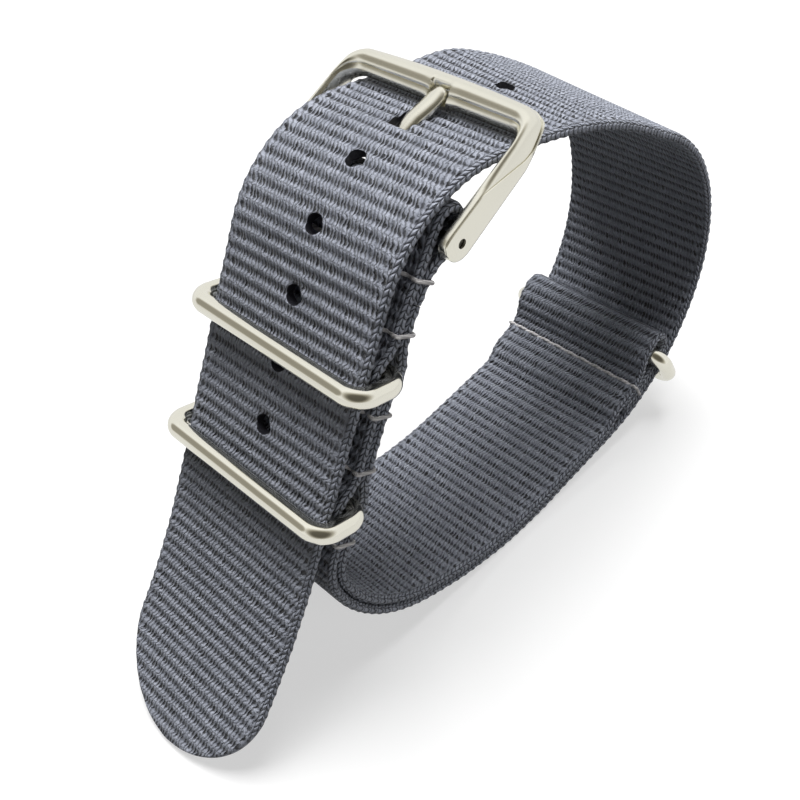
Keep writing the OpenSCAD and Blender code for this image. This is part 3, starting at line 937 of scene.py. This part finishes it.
@dataclass
class Ribbon:
    """A ribbon of ribbed webbing laid along a line, with its twist at each point of the line."""

    name: str
    line: list[Point2]
    turns: list[float]
    width: float = 22.0
    thickness: float = 1.2
    rib_pitch: float = 1.4
    rib_depth: float = 0.2
    face_share: float = 0.6
    scallop: float = 0.09
    waver: float = 0.06
    waver_pace: float = 0.21
    waver_row: float = 3.7
    pinch: float = 0.04
    selvage_from: float = 9.2
    selvage_width: float = 1.2
    tip_half: float = 0.5
    face_columns: int = 19
    edge_columns: int = 7
    per_rib: int = 8
    round_tip: bool = False

    @property
    def length(self) -> float:
        """Length of the ribbon in millimetres."""
        return sum(math.dist(a, b) for a, b in zip(self.line, self.line[1:]))

    def stations(self) -> tuple[list[Vector], list[Vector], list[float], list[float]]:
        """Divide the line into equal steps.

        Returns:
            The places, the normals, the distances from the start and the twists.
        """
        runs = [0.0]
        for a, b in zip(self.line, self.line[1:]):
            runs.append(runs[-1] + math.hypot(b[0] - a[0], b[1] - a[1]))
        wanted = spread(0.0, runs[-1], self.rib_pitch / self.per_rib)
        places, turns, at = [], [], 0
        for run in wanted:
            while at < len(runs) - 2 and runs[at + 1] < run:
                at += 1
            share = (run - runs[at]) / (runs[at + 1] - runs[at])
            places.append(Vector(self.line[at]).lerp(Vector(self.line[at + 1]), share))
            turns.append(self.turns[at])
        normals = []
        for i in range(len(places)):
            ahead = places[min(i + 1, len(places) - 1)] - places[max(i - 1, 0)]
            normals.append(Vector((-ahead.y, ahead.x)).normalized())
        return places, normals, wanted, turns

    def section(self, run: float, left: float) -> list[Point3]:
        """Draw the ribbon's section at a place.

        Args:
            run: Distance from the ribbon's start.
            left: Distance to the ribbon's end.

        Returns:
            Each point as its side, its height and its place on the map.
        """
        phase = run / self.rib_pitch
        low = self.rib_depth * (1 - math.sin(math.pi * phase) ** 2)
        half_t = self.thickness / 2 - (1 - self.face_share) * low
        half_w = self.width / 2 - self.scallop * low / self.rib_depth
        half_w += self.waver * noise.noise(Vector((run * self.waver_pace, self.waver_row, 0.0)))
        half_w -= self.pinch * math.sin(2 * math.pi * phase) ** 2
        if self.round_tip and left < self.width / 2:
            reach = self.width / 2 - left
            round_half = math.sqrt(max(0.0, (self.width / 2) ** 2 - reach ** 2))
            half_w = max(self.tip_half, min(half_w, round_half))
        flat = max(0.0, half_w - half_t)
        points = []
        for side in (1, -1):
            for k in range(self.face_columns):
                y = side * flat * (2 * k / (self.face_columns - 1) - 1)
                fade = 1 - ease((abs(y) - self.selvage_from) / self.selvage_width)
                points.append((y, side * (half_t - self.face_share * low * fade), y))
            for k in range(1, self.edge_columns):
                angle = math.pi * k / self.edge_columns
                along = half_t * min(angle, math.pi - angle)
                y = side * (flat + half_t * math.sin(angle))
                points.append((y, side * half_t * math.cos(angle), side * (flat + along)))
        return points

    def build(self) -> Piece:
        """Lay a grid along the line, close it round the section, and map the weave on it.

        Returns:
            The ribbon.
        """
        places, normals, runs, turns = self.stations()
        rows = [self.section(run, runs[-1] - run) for run in runs]
        last, girth = len(runs) - 1, len(rows[0])
        bpy.ops.mesh.primitive_grid_add(x_subdivisions=last, y_subdivisions=girth, size=2)
        piece = bpy.context.object
        piece.name = self.name
        mesh = piece.data
        keys = []
        for vert in mesh.vertices:
            i = round((vert.co.x + 1) / 2 * last)
            j = round((vert.co.y + 1) / 2 * girth) % girth
            keys.append((i, j))
            side, height, _ = rows[i][j]
            sine, cosine = math.sin(turns[i]), math.cos(turns[i])
            spot = places[i] + normals[i] * (height * cosine - side * sine)
            vert.co = Vector((spot.x, side * cosine + height * sine, spot.y)) * MM
        while mesh.uv_layers:
            mesh.uv_layers.remove(mesh.uv_layers[0])
        weave = mesh.uv_layers.new(name="weave")
        for loop in mesh.loops:
            i, j = keys[loop.vertex_index]
            weave.data[loop.index].uv = (runs[i], rows[i][j][2])
        bpy.ops.object.mode_set(mode="EDIT")
        bpy.ops.mesh.select_all(action="SELECT")
        bpy.ops.mesh.remove_doubles(threshold=1e-6)
        fill_ends()
        bpy.ops.object.shade_smooth()
        return piece


@dataclass
class Webbing:
    """The long and the short ribbon, with their holes and slots."""

    path: StrapPath
    hole_r: float = 1.05
    hole_sides: int = 40
    slot_half: float = 1.25
    slot_stagger: float = 0.001
    slot_clear: float = 0.05
    pocket_r: float = 1.15
    pocket_half: float = 14.4
    tongue_dir: float = math.radians(34.0926)
    passage: Point2 = (4.2, 11.1)
    passage_low: float = 0.7
    rocked: float = math.tan(math.radians(5))

    def hole_cutter(self, s: float) -> Piece:
        """Return a cylinder for the hole at station s."""
        pose, half = self.path.pose(s), self.path.web_t
        spot, turn = pose.beside(self.path.main_d(s)), (0, -pose.heading, 0)
        return rod(spot, self.hole_r, half, turn, self.hole_sides)

    def tongue_cutter(self) -> Piece:
        """Make the wedge that the tongue passes through.

        Returns:
            The wedge.
        """
        (near, far), low = self.passage, self.passage_low
        tops = (low + far * self.rocked, low + near * self.rocked)
        corners = ((near, -low), (far, -low), (far, tops[0]), (near, tops[1]))
        pin = Vector(self.path.pin)
        along = Vector((math.cos(self.tongue_dir), math.sin(self.tongue_dir)))
        out = Vector((-along.y, along.x))
        spots = [pin + along * a + out * b for a, b in corners]
        sides = (-self.slot_half, self.slot_half)
        sections = [[Vector((spot.x, side, spot.y)) * MM for spot in spots] for side in sides]
        return loft("tongue_passage", sections)

    def pocket_cutters(self) -> list[Piece]:
        """Make a cylinder for each keeper ring's sewn leg, and two for the slot in the fold.

        Returns:
            The cylinders.
        """
        path = self.path
        radius = path.fold_r + path.web_t / 2 + self.slot_clear
        cutters = [
            rod(path.pin, radius, self.slot_half),
            rod(path.fold_mid, radius, self.slot_half + self.slot_stagger),
        ]
        for at in path.keeper_ats:
            spot = path.pose(at).beside(path.keeper_leg_d)
            cutters.append(rod(spot, self.pocket_r, self.pocket_half))
        return cutters

    def mark_cuts(self, piece: Piece) -> None:
        """Give the walls of a ribbon's cuts, which have no place on the map, the melted finish with
        its painted shade.

        Args:
            piece: The ribbon.
        """
        layer = piece.data.uv_layers["weave"].data
        for face in piece.data.polygons:
            spots = [layer[loop].uv for loop in face.loop_indices]
            unmapped = all(abs(spot.x) < 1e-6 for spot in spots)
            if unmapped or (spots[0] - spots[1]).length < 1e-9:
                face.material_index = 1

    def build(self) -> None:
        """Build and dress both ribbons."""
        path = self.path
        finishes = [WebbingFinish().material(), MeltedShadeFinish().material()]
        main = Ribbon("long_webbing", path.main_line(), path.main_turns(), round_tip=True)
        long_piece = main.build()
        holes = [self.hole_cutter(s) for s in path.hole_ats]
        cut(long_piece, [*holes, self.tongue_cutter(), *self.pocket_cutters()])
        short_line = path.short_line()
        short = Ribbon("short_webbing", short_line, [0.0] * len(short_line))
        short_piece = short.build()
        end_leg = path.pose(path.end_ring_at).beside(path.end_leg_d)
        end_pocket = rod(end_leg, self.pocket_r, self.pocket_half)
        cut(short_piece, [*self.pocket_cutters(), end_pocket])
        for piece, node in ((long_piece, "main_strap"), (short_piece, "short_strap")):
            finish_piece(piece, "strap", "webbing", node, *finishes)
            self.mark_cuts(piece)


@dataclass
class StitchRow:
    """A row of thread through two layers, with stitches on both faces and a wrap at each edge."""

    node: str
    station: float
    outer: float
    inner: float
    pitch: float = 2.2
    radius: float = 0.21
    half_width: float = 10.75
    corner: float = 0.26
    web_t: float = 1.2
    wave: float = 0.22
    sink: float = 0.04
    fade: float = 0.6
    wobble: float = 0.05
    step: float = 0.2
    bend_step: float = math.pi / 10

    def outline(self) -> list[Point2]:
        """Lead the thread round both layers.

        Returns:
            Its middle as sides and distances from the path.
        """
        low = self.outer - self.web_t / 2
        high = self.inner + self.web_t / 2
        line = []
        for here, there, out in ((low, high, -1.0), (high, low, 1.0)):
            sides = spread(-self.half_width, self.half_width, self.step)
            for y in sides if out < 0 else reversed(sides):
                fade = ease((self.half_width - abs(y)) / self.fade)
                lift = self.wave * math.cos(2 * math.pi * y / self.pitch) - self.sink
                line.append((y, here + out * max(lift, -self.wave) * fade))
            bends = [(angle, here, -out) for angle in spread(0.0, QUARTER, self.bend_step)[1:]]
            bends += [(angle, there, out) for angle in spread(QUARTER, 0.0, self.bend_step)[:-1]]
            for angle, face, way in bends:
                reach = self.half_width + self.corner * math.sin(angle)
                line.append((-out * reach, face + way * self.corner * (1 - math.cos(angle))))
        return line

    def build(self, path: StrapPath, thread: Material) -> None:
        """Lay the thread round the layers as one closed line.

        Args:
            path: The webbing's path.
            thread: The thread's material.
        """
        pose = path.pose(self.station)
        points = []
        for y, d in self.outline():
            x, z = pose.beside(d)
            off = self.wobble * noise.noise(Vector((y, self.station, d)))
            x, z = x + off * math.cos(pose.heading), z + off * math.sin(pose.heading)
            points.append(Vector((x, y, z)) * MM)
        piece = wire(self.node + "_thread", points, self.radius * MM)
        finish_piece(piece, "strap", "thread", self.node, thread)


@dataclass
class Stitching:
    """All rows of thread."""

    path: StrapPath

    def build(self) -> None:
        """Build every row."""
        path = self.path
        thread = ThreadFinish().material()
        rows = {"fold_stitching": path.fold_row_at}
        for keeper, at in zip(("upper_keeper", "lower_keeper"), path.keeper_ats):
            rows[keeper + "_top_stitching"] = at - path.keeper_row_off
            rows[keeper + "_bottom_stitching"] = at + path.keeper_row_off
        for node, s in rows.items():
            StitchRow(node, s, path.main_d(s), path.short_d(s)).build(path, thread)
        end = StitchRow("end_fold_stitching", path.end_row_at, path.flap_d, path.seam_d)
        end.build(path, thread)


@dataclass
class WireRing:
    """A rounded ring of wire, hinged on the leg that is sewn into the webbing."""

    name: str
    node: str
    body: str
    station: float
    leg_d: float
    lean: float
    wire_r: float = 1.05
    side: float = 12.1
    leg_gap: float = 5.4
    corner_r: float = 1.9
    bend_step: float = math.radians(3)
    sides: int = 11

    def outline(self) -> list[Point2]:
        """Bend the wire round its four corners.

        Returns:
            Its middle as sides and depths below the sewn leg.
        """
        side, top, foot = self.side - self.corner_r, -self.corner_r, self.corner_r - self.leg_gap
        corners = ((side, top, 90), (side, foot, 0), (-side, foot, -90), (-side, top, -180))
        points = []
        for y, d, start in corners:
            angles = spread(math.radians(start), math.radians(start - 90), self.bend_step)
            points += arc((y, d), self.corner_r, angles)
        return points

    def build(self, path: StrapPath, steel: Material) -> None:
        """Bend the wire into its ring at its place.

        Args:
            path: The webbing's path.
            steel: The wire's material.
        """
        pose = path.pose(self.station)
        leg = Pose(*pose.beside(self.leg_d), pose.heading - math.radians(self.lean))
        points = []
        for y, d in self.outline():
            x, z = leg.beside(d)
            points.append(Vector((x, y, z)) * MM)
        piece = wire(self.name, points, self.wire_r * MM, self.sides)
        finish_piece(piece, self.body, "steel", self.node, steel)


@dataclass
class Rings:
    """The two keeper rings and the ring in the folded end."""

    path: StrapPath
    keeper_lean: float = -14.0
    end_lean: float = 15.0

    def build(self) -> None:
        """Build the three rings."""
        path = self.path
        steel = SteelFinish(Metal.POLISHED).material()
        for which, at in zip(("upper", "lower"), path.keeper_ats):
            names = (f"{which}_wire_ring", f"{which}_keeper_ring", f"{which}_keeper")
            WireRing(*names, at, path.keeper_leg_d, self.keeper_lean).build(path, steel)
        names = ("end_wire_ring", "strap_end_ring", "end_keeper")
        WireRing(*names, path.end_ring_at, path.end_leg_d, self.end_lean).build(path, steel)


@dataclass
class Buckle:
    """The cast frame with its domed bar, and the tongue that lies on it.

    Places along count from the pin towards the bar, and heights from the pin away from the wrist.
    """

    path: StrapPath
    rise: float = math.radians(29.0926)
    tongue_tilt: float = math.radians(5.0)
    arm_in: float = 11.5
    arm_out: float = 12.7
    arm_end_r: float = 1.7
    arm_end: float = 1.85
    arm_end_shares: tuple[float, ...] = (-0.999, -0.985, -0.95, -0.88, -0.77, -0.6, -0.4, -0.2)
    arm_step: float = 0.5
    front: float = 14.75
    back: float = 11.6
    nose_at: float = 13.3
    outer_r: float = 2.9
    window_r: float = 2.0
    corner_step: float = math.radians(5)
    bar_shares: tuple[float, ...] = (
        0.85, 0.7, 0.55, 0.42, *(0.36 - 0.015 * k for k in range(24)), 0.0,
    )
    bow: float = 0.35
    bar_half: float = 1.1
    taper: Point2 = (9.0, 11.2)
    crease_drop: float = 0.08
    crease_from: float = 4.4
    crease_slope: float = 0.37
    edge_least: float = 0.4
    notch_side: float = -0.7
    notch_half: float = 1.3
    notch_ramp: float = 0.35
    notch_depth: float = 0.8
    notch_span: Point2 = (0.47, 0.37)
    flare_half: float = 2.7
    flare_back: float = 0.4
    flare_lift: float = 0.12
    lift_span: Point2 = (0.8, 0.3)
    hole_r: float = 0.48
    hole_half: float = 15.0
    tongue_w: float = 1.9
    tongue_t: float = 1.1
    thins: float = 0.35
    thins_span: Point2 = (8.0, 11.0)
    leans: float = 0.8
    leans_span: Point2 = (7.0, 12.6)
    sags: float = 0.5
    sags_span: Point2 = (7.5, 12.0)
    ridge_half: float = 0.12
    leaf: tuple[Point3, ...] = (
        (1.0, 0.72, 0.6), (3.0, 0.85, 0.8), (5.5, 0.95, 0.95), (7.4, 1.0, 1.0), (8.8, 1.05, 1.0),
        (9.9, 1.1, 0.96), (10.9, 1.1, 0.9), (11.6, 1.04, 0.84), (12.1, 0.92, 0.78),
        (12.4, 0.76, 0.7), (12.58, 0.56, 0.6), (12.66, 0.34, 0.45),
    )
    eye_out: float = 1.6
    eye_r: float = 0.8
    eye_bevel: float = 0.12

    def place(self, along: float, y: float, out: float, angle: float) -> Vector:
        """Return a point of the pin's frame in metres.

        Args:
            along: Place along.
            y: Place across the webbing.
            out: Height.
            angle: Slope of the frame or of the tongue.

        Returns:
            The point.
        """
        x, z = Pose(*self.path.pin, angle).beside(out)
        return Vector((x + along * math.cos(angle), y, z + along * math.sin(angle))) * MM

    def plan(self) -> list[tuple[Point2, Point2, float]]:
        """Draw the far half of the frame from above.

        Returns:
            The inner and the outer edge as places along and across, and how far it is the bar.
        """
        straight = self.front - self.outer_r
        start = min(self.back - self.window_r, straight)
        arm = [share * self.arm_end for share in self.arm_end_shares]
        arm += spread(0.0, start, self.arm_step)
        rows = [((along, self.arm_in), (along, self.arm_out), 0.0) for along in arm]
        for angle in spread(0.0, QUARTER, self.corner_step)[1:]:
            ahead = start + (straight - start) * ease(angle / (math.pi / 4))
            rows.append((
                (self.back - self.window_r + self.window_r * math.sin(angle),
                 self.arm_in - self.window_r + self.window_r * math.cos(angle)),
                (ahead + (self.outer_r - self.bow) * math.sin(angle),
                 self.arm_out - self.outer_r + self.outer_r * math.cos(angle)),
                ease(angle / QUARTER),
            ))
        for share in self.bar_shares:
            inner = (self.back, share * (self.arm_in - self.window_r))
            outer = (self.front - self.bow * share ** 2, share * (self.arm_out - self.outer_r))
            rows.append((inner, outer, 1.0))
        return rows

    def levels(self, along: float) -> Point3:
        """Measure the frame's heights.

        Args:
            along: Place along.

        Returns:
            The heights of the lower edge, of the crease and of the crown.
        """
        if along < 0:
            share = min(0.9999, -along / self.arm_end)
            round_low = self.arm_end_r * math.sqrt(1 - share ** 2)
            square_top = self.arm_end_r * (1 - share ** 4) ** 0.3
            return -round_low, square_top - self.crease_drop, square_top
        thins = self.arm_end_r - self.bar_half
        low = -self.arm_end_r + thins * ramp(along, self.taper)
        high = self.arm_end_r - thins * min(1.0, along / self.nose_at)
        slope = self.crease_slope * max(0.0, along - self.crease_from)
        return low, max(high - self.crease_drop - slope, low + self.edge_least), high

    def profile(self, low: float, crease: float, high: float, bar: float) -> list[Point2]:
        """Draw the outline of the frame's section, round from the foot of its inner side.

        Args:
            low: Height of the lower edge.
            crease: Height of the crease on the outer side.
            high: Height of the crown.
            bar: 0 on an arm, 1 on the bar.

        Returns:
            Each point as its share of the width from the inner edge, and its height.
        """
        tall = high - low
        lip = min(0.3, 0.2 * tall)
        groove = 0.1 * (1 - bar)
        crown, rim = 0.3 + 0.2 * bar, 0.84 + 0.12 * bar
        bevel_w = 0.2 - 0.05 * bar
        bevel_top = min(0.1 + 0.42 * bar, 0.3 * tall)
        bevel_foot = min(0.34 + 0.46 * bar, 0.55 * tall)
        # The foot and the outer side, up to the crease and its groove.
        shape = [
            (0.0, low + lip), (0.04, low + 0.35 * lip), (0.12, low), (0.88 - 0.2 * bar, low),
            (0.96 - 0.08 * bar, low + 0.35 * lip), (1.0 - 0.02 * bar, low + lip),
            (1.0, crease - 0.6 * lip), (0.97, crease - 0.1 * lip),
            (rim + 0.05, crease), (rim + 0.02, crease - groove),
        ]
        # The dome, from the crease to the crown.
        for angle in spread(0.0, QUARTER, 0.2):
            reach = max(0.0, math.cos(angle) ** (0.8 + 0.2 * bar))
            height = crease + (high - crease) * math.sin(angle)
            shape.append((crown + (rim - crown) * reach, height))
        # The fall from the crown to the inner bevel, steeper towards it.
        for share in (0.2, 0.4, 0.6, 0.8, 0.92, 1.0):
            fall = (1 - math.sqrt(max(0.0, 1 - 0.9 * share ** 2))) / (1 - math.sqrt(0.1))
            width = crown + (bevel_w + 0.05 - crown) * share
            shape.append((width, high - (bevel_top - 0.03) * fall))
        return shape + [
            (bevel_w + 0.025, high - bevel_top - 0.09), (bevel_w - 0.005, high - bevel_top - 0.02),
            (0.012, high - bevel_foot + 0.03), (0.0, high - bevel_foot - 0.05),
        ]

    def section(self, inner: Point2, outer: Point2, bar: float, side: float) -> list[Vector]:
        """Place the section of the frame between two edge points, with the saddle for the tongue.

        Args:
            inner: Place along and across of the inner edge.
            outer: Place along and across of the outer edge.
            bar: 0 on an arm, 1 on the bar.
            side: 1 on the far side, -1 on the near side.

        Returns:
            The section's points in metres.
        """
        long, wide = outer[0] - inner[0], outer[1] - inner[1]
        low, crease, high = self.levels(inner[0] + long * bar * 0.5)
        off_tongue = side * inner[1] - self.notch_side
        flare = swell(off_tongue / self.flare_half) * bar
        notch = ease((self.notch_half - abs(off_tongue)) / self.notch_ramp) * bar
        points = []
        # The inner side flares towards the tongue, and only the upper part has the saddle.
        for w, h in self.profile(low, crease, high, bar):
            back = self.flare_back * flare * max(0.0, 1 - w / 0.6) ** 1.5
            top = min(1.0, max(0.0, (h - low) / (high - low) - 0.3) / 0.5)
            drop = self.notch_depth * notch * top * ramp(w, self.notch_span)
            lift = self.flare_lift * flare * (1 - notch) * top * ramp(w, self.lift_span)
            along, y = inner[0] + long * w - back, inner[1] + wide * w
            points.append(self.place(along, side * y, h - drop + lift, self.rise))
        return points

    def build_frame(self) -> Piece:
        """Skin the frame from one arm's end round the bar to the other's, and drill its pin holes.

        Returns:
            The frame.
        """
        half = self.plan()
        rows = [(*row, 1.0) for row in half] + [(*row, -1.0) for row in reversed(half[:-1])]
        piece = loft("buckle_frame_cast", [self.section(*row) for row in rows])
        cut(piece, [rod(self.path.pin, self.hole_r, self.hole_half)])
        smooth_below(piece)
        return piece

    def build_tongue(self) -> Piece:
        """Skin the leaf-shaped tongue, which thins, leans and sags to its tip, and join its eye.

        Returns:
            The tongue.
        """
        angle = self.rise + self.tongue_tilt
        half_t, ridge = self.tongue_t / 2, self.ridge_half
        sections = []
        for along, wide, tall in self.leaf:
            w, top = self.tongue_w / 2 * wide, half_t * tall
            low = -half_t + self.thins * ramp(along, self.thins_span)
            shift = -self.leans * ramp(along, self.leans_span)
            sag = self.sags * ramp(along, self.sags_span)
            near = [
                (w * 0.8, low), (w, low * 0.6), (w, top * 0.25), (w * 0.9, top * 0.55),
                (w * 0.5, top * 0.86), (ridge, top),
            ]
            shape = [(-w * 0.8, low), *near, *((-y, out) for y, out in reversed(near[1:]))]
            sections.append([self.place(along, y + shift, out - sag, angle) for y, out in shape])
        leaf = loft("tongue_leaf", sections)
        eye = rod(self.path.pin, self.eye_out, self.tongue_w / 2)
        bevel = self.eye_bevel * MM
        apply_modifier(eye, "BEVEL", width=bevel, segments=3, limit_method="ANGLE")
        cut(eye, [rod(self.path.pin, self.eye_r, 3.0)])
        piece = join([leaf, eye], "buckle_tongue_leaf")
        smooth_below(piece)
        return piece

    def build(self) -> None:
        """Build and dress the frame and the tongue."""
        satin = SteelFinish(Metal.SATIN).material()
        finish_piece(self.build_frame(), "buckle", "steel", "buckle_frame", satin)
        finish_piece(self.build_tongue(), "tongue", "steel", "buckle_tongue", satin)


@dataclass
class SpringBar:
    """The spring bar's pieces, which keep their solids and get a steel finish darkened with painted
    shade.
    """

    nodes: tuple[str, ...] = (
        "spring_bar_barrel", "spring_bar_spring", "spring_bar_tip_near", "spring_bar_tip_far",
    )

    def dress(self, nodes: dict[str, Piece]) -> None:
        """Give each piece the steel finish, darkened with painted shade.

        Args:
            nodes: The CAD nodes by name.
        """
        steel = SteelFinish(Metal.TARNISHED).material()
        for name in self.nodes:
            mesh = nodes[name].data
            if not mesh.materials:
                mesh.materials.append(steel)
            for index in range(len(mesh.materials)):
                mesh.materials[index] = steel
            LOG.info("%s keeps its solid", name)


@dataclass(frozen=True)
class Lamp:
    """A square soft light that shines at the object: place and size in metres, power in watts."""

    name: str
    place: Point3
    size: float
    power: float
    aim: Point3 = (0, 0, 0.025)

    def hang(self) -> None:
        """Hang the light where the metal doesn't mirror it."""
        data = bpy.data.lights.new(self.name, "AREA")
        data.shape = "SQUARE"
        data.size = self.size
        data.energy = self.power
        lamp = bpy.data.objects.new(self.name, data)
        lamp.location = self.place
        lamp.visible_glossy = False
        way = Vector(self.aim) - Vector(self.place)
        lamp.rotation_euler = way.to_track_quat("-Z", "Y").to_euler()
        bpy.context.collection.objects.link(lamp)


@dataclass
class Studio:
    """The pale floor, the soft lights and the camera."""

    eye: Point3 = (-57.60, -63.85, 103.60)
    right: Point3 = (0.70194936, -0.7070498, -0.08571858)
    down: Point3 = (-0.53608428, -0.44527035, -0.71718057)
    forward: Point3 = (0.46891443, 0.54937682, -0.69159552)
    lens: float = 45.555
    sensor: float = 36.0
    floor_size: float = 4.0
    floor_shown: Colour = (0.46, 0.46, 0.46)
    floor_thrown: Colour = (0.08, 0.08, 0.08)
    floor_seen: float = 0.56
    floor_mirrored: float = 0.74
    past_light: Point2 = (0.12, 0.6)
    past_light_adds: float = 0.46
    ambient: float = 0.045
    sky: float = 0.9
    top_rise: Point2 = (0.6, 0.95)
    top_adds: float = 0.14
    dark_side: Point3 = (-0.47, -0.55, 0.69)
    dark_rise: Point2 = (0.5, 0.93)
    dark_depth: float = 0.88
    dark_tint: Colour = (1.0, 0.93, 0.76)
    streak_side: Point3 = (-0.587, 0.646, 0.489)
    streak_rise: Point2 = (0.86, 0.96)
    streak_depth: float = 0.72
    lamps: tuple[Lamp, ...] = (
        Lamp("top_softbox", (0.09, 0.10, 0.68), 0.42, 6.9),
        Lamp("side_softbox", (0.02, -0.62, 0.26), 0.4, 0.9),
    )

    def floor(self) -> None:
        """Lay the floor, which the camera and the metal see as near white."""
        bpy.ops.mesh.primitive_plane_add(size=self.floor_size, location=(0, 0, 0))
        piece = bpy.context.object
        piece.name = "studio_floor"
        g = Surface("pale_floor")
        seen, glossy = g.rays()
        away = g.read("ShaderNodeVectorMath", "Value", {0: g.place()}, operation="LENGTH")
        past_light = away.smooth(*self.past_light) * self.past_light_adds
        glow = (seen * self.floor_seen).at_least(glossy * self.floor_mirrored)
        g.feed(g.shader, {
            "Base Color": g.mix(seen, self.floor_thrown, self.floor_shown),
            "Roughness": 0.9,
            "Specular IOR Level": 0.0,
            "Emission Color": (1, 1, 1, 1),
            "Emission Strength": glow + past_light * seen,
        })
        piece.data.materials.append(g.material)

    def world(self) -> None:
        """Set the world: white where seen, faint where it lights, with dark sides for the steel."""
        world = bpy.data.worlds.new("studio_world")
        bpy.context.scene.world = world
        world.use_nodes = True
        g = Graph(world.node_tree)
        seen, glossy = g.rays()
        way = g.read("ShaderNodeTexCoord", "Generated")
        near = g.dot(way, self.dark_side).smooth(*self.dark_rise)
        streak = g.dot(way, self.streak_side).smooth(*self.streak_rise) * self.streak_depth
        dark = near.at_least(streak)
        sky = g.axes(way)[2].smooth(*self.top_rise) * self.top_adds + self.sky
        mirrored = glossy * (sky * (1.0 - dark * self.dark_depth))
        rest = 1.0 - seen.at_least(glossy)
        g.feed(world.node_tree.nodes["Background"], {
            "Color": g.mix(dark * glossy, (1.0, 1.0, 1.0), self.dark_tint),
            "Strength": seen + mirrored + rest * self.ambient,
        })

    def camera(self) -> None:
        """Place the camera where the photograph was taken from."""
        data = bpy.data.cameras.new("photo_camera")
        data.sensor_width = self.sensor
        data.lens = self.lens
        data.clip_start = MM
        camera = bpy.data.objects.new("photo_camera", data)
        bpy.context.collection.objects.link(camera)
        axes = Matrix((self.right, -Vector(self.down), -Vector(self.forward))).transposed()
        camera.matrix_world = Matrix.Translation(Vector(self.eye) * MM) @ axes.to_4x4()
        bpy.context.scene.camera = camera

    def build(self) -> None:
        """Build the whole studio."""
        bpy.context.scene.view_settings.view_transform = "Standard"
        self.floor()
        self.world()
        for lamp in self.lamps:
            lamp.hang()
        self.camera()


def plain(box: Sequence[Sequence[float]]) -> list[list[float]]:
    """Return a box as plain lists of numbers."""
    return [[round(float(value), 6) for value in corner] for corner in box]


def main() -> None:
    """Load the solids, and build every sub-assembly in order."""
    logging.basicConfig(level=logging.INFO, format="%(message)s")
    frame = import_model()
    path = StrapPath()
    Studio().build()
    Webbing(path).build()
    Stitching(path).build()
    Rings(path).build()
    Buckle(path).build()
    SpringBar().dress(frame["nodes"])
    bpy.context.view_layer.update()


if __name__ == "__main__":
    main()
